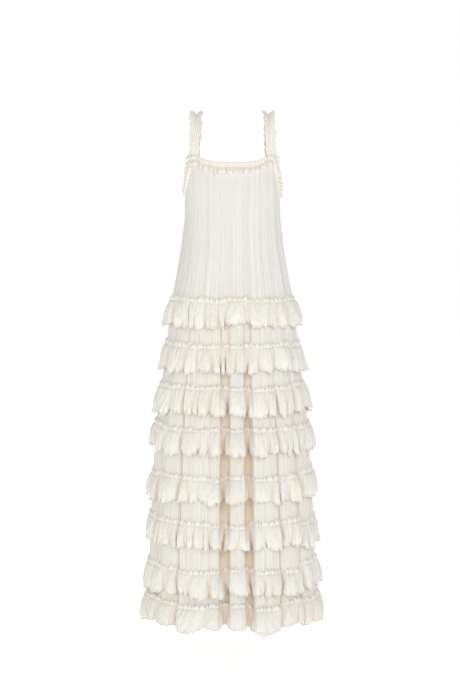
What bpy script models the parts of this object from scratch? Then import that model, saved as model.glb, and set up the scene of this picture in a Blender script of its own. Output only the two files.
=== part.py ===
"""A sleeveless maxi dress of pleated cloth, held in the hollow shape that it has when worn.

The front faces -Y and +Z is up. The origin is midway between the undersides of the two shoulder
straps, where the wearer's shoulders hold the dress. Left and right are the wearer's own.
The body of the dress is a bodice over a skirt, each with a front and a back joined at the sides.
Eight gathered flounces are sewn round it, each with a short heading that stands above its seam.
"""

import math
from collections import namedtuple

import bpy

# The cloth, in metres as all sizes here.
WALL = 0.0015
SEAM_GAP = 0.0003
SHARP_FOLD = math.radians(50)

# The dress seen from the front, the side and above, level by level: how far the cloth stands out
# sideways, forwards and backwards, how square the section is, and how deep the folds have grown.
Level = namedtuple("Level", "z half_width front back squareness fold_share")
LEVELS = (
    Level(-0.100, 0.1270, 0.087, 0.090, 3.0, 0.00),
    Level(-0.207, 0.1330, 0.112, 0.100, 2.7, 0.04),
    Level(-0.293, 0.1360, 0.125, 0.102, 2.5, 0.06),
    Level(-0.378, 0.1470, 0.133, 0.108, 2.4, 0.09),
    Level(-0.450, 0.1600, 0.139, 0.119, 2.35, 0.12),
    Level(-0.519, 0.1740, 0.145, 0.131, 2.3, 0.16),
    Level(-0.644, 0.1890, 0.155, 0.147, 2.2, 0.40),
    Level(-0.761, 0.2050, 0.164, 0.158, 2.15, 0.70),
    Level(-0.869, 0.2190, 0.173, 0.168, 2.1, 0.90),
    Level(-1.003, 0.2280, 0.181, 0.177, 2.1, 1.00),
    Level(-1.133, 0.2360, 0.187, 0.183, 2.1, 1.00),
    Level(-1.259, 0.2410, 0.191, 0.187, 2.1, 1.00),
    Level(-1.361, 0.2450, 0.195, 0.191, 2.1, 1.00),
    Level(-1.412, 0.2480, 0.198, 0.194, 2.1, 1.00),
)
BODICE_ROWS = tuple(level.z for level in LEVELS[2:5])
FLOUNCE_SEAMS = tuple(level.z for level in LEVELS[5:13])
SKIRT_ROWS = tuple(level.z for level in LEVELS[5:])

# The skirt hangs in columns with a recess after each. Widths are degrees of a half turn, from the
# wearer's right side to the left over the front, and back again over the back.
Fold = namedtuple("Fold", "column_degrees column_steps recess_degrees recess_depth")
FRONT_FOLDS = (
    Fold(23.0, 4, 3.5, 0.010),
    Fold(22.5, 4, 4.0, 0.014),
    Fold(20.6, 3, 2.5, 0.008),
    Fold(5.5, 1, 6.8, 0.032),
    Fold(9.5, 2, 6.1, 0.030),
    Fold(18.0, 3, 4.3, 0.014),
    Fold(15.7, 3, 4.7, 0.014),
    Fold(27.3, 4, 6.0, 0.012),
)
BACK_FOLDS = (
    Fold(24.0, 4, 4.0, 0.012),
    Fold(17.0, 3, 4.5, 0.016),
    Fold(19.5, 3, 4.0, 0.014),
    Fold(12.0, 2, 5.2, 0.026),
    Fold(10.0, 2, 5.0, 0.026),
    Fold(20.0, 3, 4.0, 0.014),
    Fold(21.0, 4, 3.8, 0.012),
    Fold(22.0, 3, 4.0, 0.012),
)
COLUMN_EDGE_ROUNDING = 0.25
COLUMN_EDGE_POWER = 3

# The top edge: a scooped neckline, a straight stretch under each strap, then the armhole's curve.
STRAP_INNER_ANGLE = 41.0
STRAP_OUTER_ANGLE = 63.5
STRAP_SEAM_SLACK = 1.0
STRAP_SEAM_Z = -0.113
UNDERARM_Z = -0.213
NECKLINE_CENTRE_Z = {"front": -0.135, "back": -0.150}
NECKLINE_CURVE = 2.6
BODICE_EDGE_BAND = 0.030

# The rows of a flounce: how far below its seam each lies, how far it stands off the skirt, how
# strongly the waves show there, and how much of the skirt's recesses it follows.
FlounceRow = namedtuple("FlounceRow", "drop stand_off wave_share recess_share")
FLOUNCE_ROWS = (
    FlounceRow(-0.008, 0.0040, 0.0, 1.00),
    FlounceRow(0.000, SEAM_GAP, 0.0, 1.00),
    FlounceRow(0.030, 0.0075, 0.6, 0.80),
    FlounceRow(0.066, 0.0105, 1.0, 0.55),
)
FLOUNCE_WAVE = 0.0080
FLOUNCE_WAVE_STEPS = 4
FLOUNCE_WAVE_UNEVENNESS = 0.22
FLOUNCE_WAVE_DRIFT = 2.1
FLOUNCE_TIER_DRIFT = 1.3
FLOUNCE_HEM_SWING = 0.003

# The rows of the ruffles round the neck and armholes: how far below the top edge each lies.
RuffleRow = namedtuple("RuffleRow", "drop stand_off wave_share")
NECK_RUFFLE_ROWS = (
    RuffleRow(0.001, 0.0006, 0.0),
    RuffleRow(0.014, 0.0030, 0.3),
    RuffleRow(0.028, 0.0075, 1.0),
)
ARMHOLE_RUFFLE_ROWS = (
    RuffleRow(-0.006, 0.0085, 1.0),
    RuffleRow(0.008, 0.0006, 0.0),
    RuffleRow(0.022, 0.0070, 1.0),
)
NECK_RUFFLE_WAVES = 7
ARMHOLE_RUFFLE_WAVES = 5
RUFFLE_WAVE = 0.0025
RUFFLE_WAVE_STEPS = 4
RUFFLE_END_SPACE = 2.5

# The straps: an arch over each shoulder, its frilled edges standing up from a flat middle.
STRAP_STATIONS = 23
STRAP_TOP_INNER_X = 0.089
STRAP_TOP_OUTER_X = 0.113
STRAP_ARCH_FULLNESS = 0.75
FRILL_SPREAD = 0.004
FRILL_HEIGHT_AT_TOP = 0.0125
FRILL_HEIGHT_AT_SEAM = 0.004

IVORY = (0.86, 0.83, 0.76, 1.0)
CREAM = (0.88, 0.83, 0.73, 1.0)


def clear_scene():
    for thing in list(bpy.data.objects):
        bpy.data.objects.remove(thing, do_unlink=True)


def cloth_material(name, colour):
    material = bpy.data.materials.new(name)
    material.use_nodes = True
    shader = material.node_tree.nodes["Principled BSDF"]
    shader.inputs["Base Color"].default_value = colour
    shader.inputs["Roughness"].default_value = 0.8
    shader.inputs["Metallic"].default_value = 0.0
    return material


def mix(low, high, share):
    return low + (high - low) * share


def level_at(z):
    """The section's sizes at any height, straight between the levels of the table."""
    for upper, lower in zip(LEVELS, LEVELS[1:]):
        if z >= lower.z:
            share = min(1.0, max(0.0, (upper.z - z) / (upper.z - lower.z)))
            return Level(*(mix(a, b, share) for a, b in zip(upper, lower)))
    return LEVELS[-1]


Column = namedtuple("Column", "angle recess")


def columns_of_half(folds, start_angle):
    """The upright lines of points across one half of the dress, up to where the next half starts."""
    columns = []
    angle = start_angle
    for fold in folds:
        for step in range(fold.column_steps):
            across = step / fold.column_steps
            edge = abs(2 * across - 1) ** COLUMN_EDGE_POWER
            rounding = COLUMN_EDGE_ROUNDING * edge * fold.recess_depth
            columns.append(Column(angle + across * fold.column_degrees, rounding))
        angle += fold.column_degrees
        columns.append(Column(angle, COLUMN_EDGE_ROUNDING * fold.recess_depth))
        columns.append(Column(angle + fold.recess_degrees / 2, fold.recess_depth))
        angle += fold.recess_degrees
    return columns


COLUMNS = columns_of_half(FRONT_FOLDS, -90.0) + columns_of_half(BACK_FOLDS, 90.0)
SIDE_SEAM = len(COLUMNS) // 2


def section_point(column, z, recess_share=1.0, stand_off=0.0):
    """A point of the dress's outer face, with its recess, and moved out by stand_off."""
    level = level_at(z)
    angle = math.radians(column.angle)
    across, along = math.sin(angle), math.cos(angle)
    depth = level.front if along >= 0 else level.back
    power = 2 / level.squareness
    x = math.copysign(level.half_width * abs(across) ** power, across)
    y = -math.copysign(depth * abs(along) ** power, along)
    slope = level.squareness - 1
    normal_x = math.copysign(abs(x / level.half_width) ** slope / level.half_width, x)
    normal_y = math.copysign(abs(y / depth) ** slope / depth, y)
    length = math.hypot(normal_x, normal_y)
    out = stand_off - column.recess * level.fold_share * recess_share
    return (x + out * normal_x / length, y + out * normal_y / length, z)


def moved_out(ring, distance, closed):
    """A ring's points moved square to its sides in plan, so that the wall keeps its thickness."""
    moved = []
    count = len(ring)
    for i, (x, y, z) in enumerate(ring):
        before = ring[i - 1] if closed or i > 0 else None
        after = ring[(i + 1) % count] if closed or i < count - 1 else None
        sides = []
        for start, end in ((before, ring[i]), (ring[i], after)):
            if start is not None and end is not None:
                dx, dy = end[0] - start[0], end[1] - start[1]
                length = math.hypot(dx, dy)
                sides.append((dy / length, -dx / length))
        if len(sides) == 1:
            mx, my = sides[0]
        else:
            (ax, ay), (bx, by) = sides
            share = 1 + ax * bx + ay * by
            mx, my = (ax + bx) / share, (ay + by) / share
        moved.append((x + distance * mx, y + distance * my, z))
    return moved


def wall_object(name, outer_rows, inner_rows, material):
    """A closed sheet with an outer and an inner face, its four edges covered.

    Both faces are split along the same diagonals, so that the wall never crosses itself.
    """
    rows, across = len(outer_rows), len(outer_rows[0])
    points = [p for row in outer_rows for p in row] + [p for row in inner_rows for p in row]
    shift = rows * across

    def corner(row, column):
        return row * across + column

    faces = []
    for row in range(rows - 1):
        for column in range(across - 1):
            a, b = corner(row, column), corner(row, column + 1)
            c, d = corner(row + 1, column + 1), corner(row + 1, column)
            faces += [(a, d, c), (a, c, b)]
            faces += [(c + shift, d + shift, a + shift), (b + shift, c + shift, a + shift)]
    top = [corner(0, i) for i in range(across)]
    far = [corner(i, across - 1) for i in range(rows)]
    bottom = [corner(rows - 1, i) for i in reversed(range(across))]
    near = [corner(i, 0) for i in reversed(range(rows))]
    for edge in (top, far, bottom, near):
        for a, b in zip(edge, edge[1:]):
            faces += [(a, b, b + shift), (a, b + shift, a + shift)]
    mesh = bpy.data.meshes.new(name)
    mesh.from_pydata(points, [], faces)
    mesh.materials.append(material)
    mesh.update()
    piece = bpy.data.objects.new(name, mesh)
    bpy.context.scene.collection.objects.link(piece)
    mesh.shade_smooth()
    mesh.set_sharp_from_angle(angle=SHARP_FOLD)


def half_of(ring, half):
    """The front or back stretch of a closed ring, its ends drawn back from the side seams."""
    if half == "front":
        stretch, inwards = ring[: SIDE_SEAM + 1], -1
    else:
        stretch, inwards = ring[SIDE_SEAM:] + ring[:1], 1
    shift = inwards * SEAM_GAP / 2
    ends = [(x, y + shift, z) for x, y, z in (stretch[0], stretch[-1])]
    return [ends[0]] + stretch[1:-1] + [ends[1]]


def half_wall(name, half, outer_rings, inner_rings, material):
    outer = [half_of(ring, half) for ring in outer_rings]
    inner = [half_of(ring, half) for ring in inner_rings]
    wall_object(name, outer, inner, material)


def top_edge_z(column):
    """The height of the bodice's top edge at a column."""
    half = "front" if column.angle <= 90 else "back"
    middle = 0.0 if half == "front" else 180.0
    turn = abs(column.angle - middle)
    if turn < STRAP_INNER_ANGLE:
        lift = (turn / STRAP_INNER_ANGLE) ** NECKLINE_CURVE
        return mix(NECKLINE_CENTRE_Z[half], STRAP_SEAM_Z, lift)
    if turn <= STRAP_OUTER_ANGLE + STRAP_SEAM_SLACK:
        return STRAP_SEAM_Z
    share = (turn - STRAP_OUTER_ANGLE) / (90 - STRAP_OUTER_ANGLE)
    return mix(STRAP_SEAM_Z, UNDERARM_Z, math.sin(share * math.pi / 2))


def bodice_rings():
    """The bodice's outer face, row by row from its top edge to the seam of the first flounce."""
    edge = [top_edge_z(column) for column in COLUMNS]
    heights = [edge, [z - BODICE_EDGE_BAND for z in edge]]
    heights += [[z] * len(COLUMNS) for z in BODICE_ROWS]
    heights += [[FLOUNCE_SEAMS[0] + SEAM_GAP / 2] * len(COLUMNS)]
    return [[section_point(c, z) for c, z in zip(COLUMNS, row)] for row in heights]


def make_bodice(outer, material):
    inner = [moved_out(ring, -WALL, closed=True) for ring in outer]
    for half in ("front", "back"):
        half_wall(f"bodice_{half}", half, outer, inner, material)


def make_skirt(material):
    heights = (SKIRT_ROWS[0] - SEAM_GAP / 2,) + SKIRT_ROWS[1:]
    outer = [[section_point(c, z) for c in COLUMNS] for z in heights]
    inner = [moved_out(ring, -WALL, closed=True) for ring in outer]
    for half in ("front", "back"):
        half_wall(f"skirt_{half}", half, outer, inner, material)


def flounce_wave(tier, index):
    """How far one point of a flounce swings in or out: waves of uneven size, four steps each."""
    turn = 2 * math.pi * (index + tier) / FLOUNCE_WAVE_STEPS
    wave_number = index // FLOUNCE_WAVE_STEPS
    drift = math.sin(FLOUNCE_WAVE_DRIFT * wave_number + FLOUNCE_TIER_DRIFT * tier)
    return math.cos(turn) * (1 - FLOUNCE_WAVE_UNEVENNESS * (1 - drift))


def make_flounce(tier, material):
    """A gathered strip sewn round the dress, flaring into waves below its seam."""
    seam_z = FLOUNCE_SEAMS[tier]
    inner, outer = [], []
    for row in FLOUNCE_ROWS:
        ring = []
        for index, column in enumerate(COLUMNS):
            wave = flounce_wave(tier, index) * row.wave_share
            z = seam_z - row.drop - FLOUNCE_HEM_SWING * wave
            if row.drop == 0:
                ring.append(section_point(column, seam_z))
            else:
                stand_off = row.stand_off + FLOUNCE_WAVE * wave
                ring.append(section_point(column, z, row.recess_share, stand_off))
        if row.drop == 0:
            ring = moved_out(ring, row.stand_off, closed=True)
        inner.append(ring)
        outer.append(moved_out(ring, WALL, closed=True))
    for half in ("front", "back"):
        half_wall(f"flounce_{tier + 1}_{half}", half, outer, inner, material)


def edge_point(rings, angle, share):
    """A point on the bodice, share 0 at its top edge and 1 a band's depth below, and the way out."""
    edge, band = rings[:2]
    angle = (angle + 90) % 360 - 90
    after = next((i for i, column in enumerate(COLUMNS) if column.angle > angle), 0)
    start, end = COLUMNS[after - 1].angle, COLUMNS[after].angle
    across = (angle - start) / ((end - start) % 360)
    before, beyond = (
        [mix(p, q, share) for p, q in zip(edge[i], band[i])] for i in (after - 1, after)
    )
    point = [mix(p, q, across) for p, q in zip(before, beyond)]
    base = section_point(Column(angle, 0.0), point[2])
    outer = section_point(Column(angle, 0.0), point[2], 1.0, 1.0)
    return point, (outer[0] - base[0], outer[1] - base[1])


def ruffle_line(rings, row, start_angle, end_angle, steps, thickness):
    """One row of a ruffle's points, thickness 0 on its inner face."""
    line = []
    for step in range(steps + 1):
        angle = mix(start_angle, end_angle, step / steps)
        (x, y, z), (out_x, out_y) = edge_point(rings, angle, row.drop / BODICE_EDGE_BAND)
        wave = math.cos(2 * math.pi * step / RUFFLE_WAVE_STEPS) * row.wave_share
        out = row.stand_off + RUFFLE_WAVE * wave + thickness
        line.append((x + out * out_x, y + out * out_y, z))
    return line


def edge_ruffle(name, rings, rows, start_angle, end_angle, waves, material):
    """A ruffle along the bodice's top edge between two angles, made from the bodice's points."""
    steps = waves * RUFFLE_WAVE_STEPS
    inner = [ruffle_line(rings, row, start_angle, end_angle, steps, 0.0) for row in rows]
    outer = [ruffle_line(rings, row, start_angle, end_angle, steps, WALL) for row in rows]
    wall_object(name, outer, inner, material)


def make_neck_ruffles(rings, material):
    for half, middle in (("front", 0), ("back", 180)):
        start, end = middle - STRAP_OUTER_ANGLE, middle + STRAP_OUTER_ANGLE
        name = f"neck_ruffle_{half}"
        edge_ruffle(name, rings, NECK_RUFFLE_ROWS, start, end, NECK_RUFFLE_WAVES, material)


def make_armhole_ruffles(rings, material):
    reach = 90 - STRAP_OUTER_ANGLE - RUFFLE_END_SPACE
    for side, middle in (("right", -90), ("left", 90)):
        start, end = middle - reach, middle + reach
        name = f"armhole_ruffle_{side}"
        edge_ruffle(
            name, rings, ARMHOLE_RUFFLE_ROWS, start, end, ARMHOLE_RUFFLE_WAVES, material
        )


def strap_edge(side, angle, top_x, share):
    """A point of a strap's inner or outer edge, share 0 at the front seam and 1 at the back."""
    ends = []
    for turn in (angle, 180 - angle):
        point = section_point(Column(turn, 0.0), STRAP_SEAM_Z, 1.0, -WALL)
        ends.append((abs(point[0]), point[1]))
    (front_x, front_y), (back_x, back_y) = ends
    swing = math.pi * share
    lift = math.sin(swing) ** STRAP_ARCH_FULLNESS
    x = mix(mix(front_x, back_x, share), top_x, lift)
    y = mix(front_y, back_y, (1 - math.cos(swing)) / 2)
    z = mix(STRAP_SEAM_Z + SEAM_GAP, 0.0, lift)
    return (side * x, y, z)


def subtract(a, b):
    return tuple(p - q for p, q in zip(a, b))


def unit(v):
    length = math.sqrt(sum(p * p for p in v))
    return tuple(p / length for p in v)


def cross(a, b):
    return (
        a[1] * b[2] - a[2] * b[1],
        a[2] * b[0] - a[0] * b[2],
        a[0] * b[1] - a[1] * b[0],
    )


def strap_profile(width, bulge, rise):
    """A strap's section as if laid flat: a frilled edge, the band and the other frilled edge."""
    return [
        (-FRILL_SPREAD, -rise, 0.0),
        (0.0, 0.0, 0.0),
        (width / 2, -bulge, 0.0),
        (width, 0.0, 0.0),
        (width + FRILL_SPREAD, -rise, 0.0),
    ]


def make_strap(name, side, material):
    """One shoulder strap: a gathered band whose two edges frill up, worn over the shoulder."""
    middle_angle = (STRAP_INNER_ANGLE + STRAP_OUTER_ANGLE) / 2
    middle_x = (STRAP_TOP_INNER_X + STRAP_TOP_OUTER_X) / 2
    shares = [i / (STRAP_STATIONS - 1) for i in range(STRAP_STATIONS)]
    inside = [strap_edge(side, STRAP_INNER_ANGLE, STRAP_TOP_INNER_X, s) for s in shares]
    middle = [strap_edge(side, middle_angle, middle_x, s) for s in shares]
    outside = [strap_edge(side, STRAP_OUTER_ANGLE, STRAP_TOP_OUTER_X, s) for s in shares]
    outer_rows, inner_rows = [], []
    for i, share in enumerate(shares):
        before, after = max(0, i - 1), min(STRAP_STATIONS - 1, i + 1)
        along = unit(subtract(middle[after], middle[before]))
        if i in (0, STRAP_STATIONS - 1):
            along = (0.0, 0.0, 1.0 if i == 0 else -1.0)
        across = unit(subtract(outside[i], inside[i]))
        out = unit(cross(across, along) if side > 0 else cross(along, across))
        width = math.dist(outside[i], inside[i])
        bulge = sum(p * q for p, q in zip(subtract(middle[i], inside[i]), out))
        rise = mix(FRILL_HEIGHT_AT_SEAM, FRILL_HEIGHT_AT_TOP, math.sin(math.pi * share))
        profile = strap_profile(width, bulge, rise)
        raised = moved_out(profile, WALL, closed=False)
        for rows, line in ((inner_rows, profile), (outer_rows, raised)):
            placed = [
                tuple(inside[i][k] + u * across[k] - v * out[k] for k in range(3))
                for u, v, _ in line
            ]
            rows.append(placed[::-1] if side > 0 else placed)
    wall_object(name, outer_rows, inner_rows, material)


def main():
    clear_scene()
    ivory = cloth_material("bodice_cloth", IVORY)
    cream = cloth_material("flounce_cloth", CREAM)
    rings = bodice_rings()
    make_bodice(rings, ivory)
    make_skirt(cream)
    for tier in range(len(FLOUNCE_SEAMS)):
        make_flounce(tier, cream)
    make_neck_ruffles(rings, cream)
    make_armhole_ruffles(rings, cream)
    make_strap("strap_right", -1, cream)
    make_strap("strap_left", 1, cream)


main()
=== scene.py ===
import math
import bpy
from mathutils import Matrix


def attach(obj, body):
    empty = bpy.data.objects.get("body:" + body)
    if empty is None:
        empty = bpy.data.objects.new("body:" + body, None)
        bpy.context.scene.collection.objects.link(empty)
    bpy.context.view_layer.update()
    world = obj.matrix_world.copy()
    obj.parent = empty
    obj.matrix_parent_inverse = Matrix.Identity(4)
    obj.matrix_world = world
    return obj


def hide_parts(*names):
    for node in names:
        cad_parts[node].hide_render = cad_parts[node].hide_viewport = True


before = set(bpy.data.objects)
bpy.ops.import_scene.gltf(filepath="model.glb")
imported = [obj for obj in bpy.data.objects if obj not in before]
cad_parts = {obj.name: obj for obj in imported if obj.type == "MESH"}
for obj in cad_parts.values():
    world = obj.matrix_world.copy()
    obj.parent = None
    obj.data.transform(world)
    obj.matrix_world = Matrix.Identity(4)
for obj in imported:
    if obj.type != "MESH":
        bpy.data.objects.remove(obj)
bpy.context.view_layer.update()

from types import SimpleNamespace

import bpy
import numpy as np


# Bodice. A front and a back panel of fine heat-set pleats in cool ivory crepe. They are sewn
# together at the sides and hang from the neckline and the underarms down to the first flounce.

# Height, half width, depth in front and behind, squareness, and how deep the folds have grown.
BODY_SECTIONS = np.array([
    (-0.100, 0.1270, 0.087, 0.090, 3.00, 0.00),
    (-0.207, 0.1330, 0.112, 0.100, 2.70, 0.04),
    (-0.293, 0.1360, 0.125, 0.102, 2.50, 0.06),
    (-0.378, 0.1470, 0.133, 0.108, 2.40, 0.09),
    (-0.450, 0.1600, 0.139, 0.119, 2.35, 0.12),
    (-0.519, 0.1740, 0.145, 0.131, 2.30, 0.16),
    (-0.644, 0.1890, 0.155, 0.147, 2.20, 0.40),
    (-0.761, 0.2050, 0.164, 0.158, 2.15, 0.70),
    (-0.869, 0.2190, 0.173, 0.168, 2.10, 0.90),
    (-1.003, 0.2280, 0.181, 0.177, 2.10, 1.00),
    (-1.133, 0.2360, 0.187, 0.183, 2.10, 1.00),
    (-1.259, 0.2410, 0.191, 0.187, 2.10, 1.00),
    (-1.361, 0.2450, 0.195, 0.191, 2.10, 1.00),
    (-1.412, 0.2480, 0.198, 0.194, 2.10, 1.00),
])[::-1]
# Degrees across a column of the skirt, the points on it, and the width and depth of the recess
# after it, from the wearer's right over the front, and back again behind.
FRONT_COLUMNS = (
    (23.0, 4, 3.5, 0.010), (22.5, 4, 4.0, 0.014), (20.6, 3, 2.5, 0.008), (5.5, 1, 6.8, 0.032),
    (9.5, 2, 6.1, 0.030), (18.0, 3, 4.3, 0.014), (15.7, 3, 4.7, 0.014), (27.3, 4, 6.0, 0.012),
)
BACK_COLUMNS = (
    (24.0, 4, 4.0, 0.012), (17.0, 3, 4.5, 0.016), (19.5, 3, 4.0, 0.014), (12.0, 2, 5.2, 0.026),
    (10.0, 2, 5.0, 0.026), (20.0, 3, 4.0, 0.014), (21.0, 4, 3.8, 0.012), (22.0, 3, 4.0, 0.012),
)
WAIST_SEAM_Z = -0.519
BODICE_PLEATS = 60
BODICE_PLEAT_DEPTH = 0.0021
BODICE_ROWS = 50
IVORY = (0.855, 0.85, 0.825)
BODICE_EVEN_Z = -0.45
BODICE_TOP_STRENGTH = 0.45
NECK_FRONT_Z = -0.135
NECK_BACK_Z = -0.150
NECKLINE_CURVE = 2.6
STRAP_SEAM_Z = -0.113
STRAP_INNER_ANGLE = 41.0
STRAP_OUTER_ANGLE = 63.5
STRAP_SEAM_SLACK = 1.0
ARMHOLE_DROP = 0.100
DEEP_RECESS = 0.020
DRAWN_SIZES = 997  # how many pleats or puffs get a size of their own before the sizes repeat
IVORY_SHADE = (0.74, 0.71, 0.65)


def smoothed(values, width, ends):
    """Values blurred with a bell-shaped window, their two ends held or wrapped round."""
    window = np.hanning(width)
    return np.convolve(np.pad(values, (width - 3) // 2, ends), window[1:-1] / window.sum(), "valid")


section_heights = np.arange(-1.460, -0.060, 0.004)
section_sizes = [
    smoothed(np.interp(section_heights, BODY_SECTIONS[:, 0], BODY_SECTIONS[:, k]), 13, "edge")
    for k in range(1, 6)
]


def fold_columns():
    """The angle and the depth of the folds at each upright line of the dress's outer face."""
    lines = []
    for angle, columns in ((-90.0, FRONT_COLUMNS), (90.0, BACK_COLUMNS)):
        for width, points, gap, depth in columns:
            for share in np.arange(points) / points:
                rounding = 0.25 * abs(2 * share - 1) ** 3 * depth
                lines.append((angle + share * width, rounding))
            lines += [(angle + width, 0.25 * depth), (angle + width + gap / 2, depth)]
            angle += width + gap
    return np.array(lines).T


fold_angles, fold_depths = fold_columns()
fine_angles = np.arange(-90, 270, 0.1)
fine_depths = np.interp(fine_angles, fold_angles, fold_depths, period=360)
recesses = []
for angle, columns in ((-90.0, FRONT_COLUMNS), (90.0, BACK_COLUMNS)):
    for width, _, gap, depth in columns:
        angle += width + gap
        recesses.append((angle - gap / 2, depth))
        if depth > DEEP_RECESS:
            from_middle = np.abs(fine_angles - angle + gap / 2)
            fine_depths = np.maximum(fine_depths, np.clip(3.4 - 6.0 * from_middle / gap, 0, 1) * depth)
fine_depths = smoothed(fine_depths, 11, "wrap")


def fold_at(angle):
    """How deep the skirt's fold is at an angle, where the folds have fully grown."""
    return np.interp(angle, fine_angles, fine_depths, period=360)


def on_dress(angle, z, fold=0.0, out=0.0):
    """Points on the dress's outer face, 0 degrees in front, its folds let in and moved out."""
    half_width, front, back, square, grown = (
        np.interp(z, section_heights, sizes) for sizes in section_sizes
    )
    turn = np.radians(angle)
    across, along = np.sin(turn), np.cos(turn)
    depth = np.where(along >= 0, front, back)
    x = half_width * np.sign(across) * np.abs(across) ** (2 / square)
    y = -depth * np.sign(along) * np.abs(along) ** (2 / square)
    normal_x = np.sign(x) * np.abs(x / half_width) ** (square - 1) / half_width
    normal_y = np.sign(y) * np.abs(y / depth) ** (square - 1) / depth
    move = (out - fold * grown) / np.hypot(normal_x, normal_y)
    return np.stack([x + move * normal_x, y + move * normal_y, z + 0 * x], axis=-1)


def length_along(points):
    """How far each point of a line lies from its start."""
    steps = np.linalg.norm(np.diff(points, axis=0), axis=-1)
    return np.concatenate([[0.0], np.cumsum(steps)])


def evenly_round(z, start, end, count):
    """Angles that share out the cloth evenly round the folded section at one height."""
    angles = np.linspace(start, end, 24001)
    length = length_along(on_dress(angles, z, fold_at(angles)))
    return np.interp(np.linspace(0, length[-1], count), length, angles)


def ridges(count, seed, spread=0.45):
    """Rounded pleats with tight valleys, 0 in each valley and about 1 on each uneven ridge."""
    heights = 1 - spread * np.random.default_rng(seed).random(DRAWN_SIZES)
    return (1 - np.abs(2 * (count % 1) - 1) ** 2.2) * heights[np.floor(count).astype(int) % DRAWN_SIZES]


def wander(x, seed, longest=1.0):
    """A smooth uneven line between about -1 and 1, for what hands never make regular."""
    rng = np.random.default_rng(seed)
    line = 0
    for octave in range(4):
        line = line + np.sin((x / longest * 1.7**octave + rng.random()) * 2 * np.pi) / 1.5**octave
    return line / 2.2


def crumple(across, down, seed, widest=0.020, tallest=0.060):
    """Soft dents of worn crepe, longer down the cloth than across it, between about -1 and 1."""
    rng = np.random.default_rng(seed)
    dents = 0
    for _ in range(9):
        wide, tall = widest * rng.uniform(0.45, 1.0), tallest * rng.uniform(0.4, 1.0)
        lean = rng.choice([-1, 1])
        dents = dents + np.sin(2 * np.pi * (across / wide + lean * down / tall + rng.random()))
    return dents / 5.0


def hump(distance, spread):
    """1 at no distance, fading to 0 about two spreads away."""
    return math.exp(-((distance / spread) ** 2))


def neckline_z(angle):
    """The height of the bodice's top edge: scooped in front and behind, hollowed under the arms."""
    turned = (angle + 90) % 360 - 90
    turn = np.abs(turned - np.where(turned <= 90, 0, 180))
    centre = np.where(turned <= 90, NECK_FRONT_Z, NECK_BACK_Z)
    scoop = centre + (STRAP_SEAM_Z - centre) * (turn / STRAP_INNER_ANGLE) ** NECKLINE_CURVE
    past_strap = (turn - STRAP_OUTER_ANGLE) / (90 - STRAP_OUTER_ANGLE)
    armhole = STRAP_SEAM_Z - ARMHOLE_DROP * np.sin(past_strap * np.pi / 2)
    under_strap = turn <= STRAP_OUTER_ANGLE + STRAP_SEAM_SLACK
    return np.where(turn < STRAP_INNER_ANGLE, scoop, np.where(under_strap, STRAP_SEAM_Z, armhole))


def sheet_of_cloth(name, points, tint, ring=False):
    """A grid laid over rows of points from the hem up, with the cloth's own metres as its UV map.

    tint holds three shares of painted shade for each point, darker the deeper it lies in a fold, in a
    pleat, in a gather.
    """
    rows, across = points.shape[:2]
    bpy.ops.object.select_all(action="DESELECT")
    bpy.ops.mesh.primitive_grid_add(x_subdivisions=across - 1, y_subdivisions=rows - 1, size=1)
    piece = bpy.context.object
    piece.name = piece.data.name = name
    mesh = piece.data
    mesh.vertices.foreach_set("co", points.reshape(-1).astype(np.float32))
    u = length_along(points[rows // 2])
    v = length_along(points[:, across // 2])
    uv = np.empty(len(mesh.loops) * 2, np.float32)
    mesh.uv_layers["UVMap"].data.foreach_get("uv", uv)
    uv = uv.reshape(-1, 2)
    uv[:, 0] = u[np.rint(uv[:, 0] * (across - 1)).astype(int)]
    uv[:, 1] = v[np.rint(uv[:, 1] * (rows - 1)).astype(int)]
    mesh.uv_layers["UVMap"].data.foreach_set("uv", uv.reshape(-1))
    shares = np.ones((rows * across, 4), np.float32)
    shares[:, :3] = np.clip(tint.reshape(-1, 3), 0, 1)
    # The three shares of painted shade are kept as a colour attribute for the material.
    attribute = mesh.attributes.new("painted_shade", "FLOAT_COLOR", "POINT")
    attribute.data.foreach_set("color", shares.reshape(-1))
    if ring:
        bpy.ops.object.mode_set(mode="EDIT")
        bpy.ops.mesh.select_all(action="SELECT")
        bpy.ops.mesh.remove_doubles(threshold=1e-6)
        bpy.ops.object.mode_set(mode="OBJECT")
    mesh.update()
    bpy.ops.object.shade_smooth()
    return piece


def new_node(nodes, kind, settings):
    """A new shader node of this kind, with these values in its inputs."""
    node = nodes.new(kind)
    for name, value in settings.items():
        node.inputs[name].default_value = value
    return node


# The shade, deep and edge colours are warm tones of painted shade for pleats, folds, stitching and
# creases; the shade colour also tints random patches.
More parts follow.
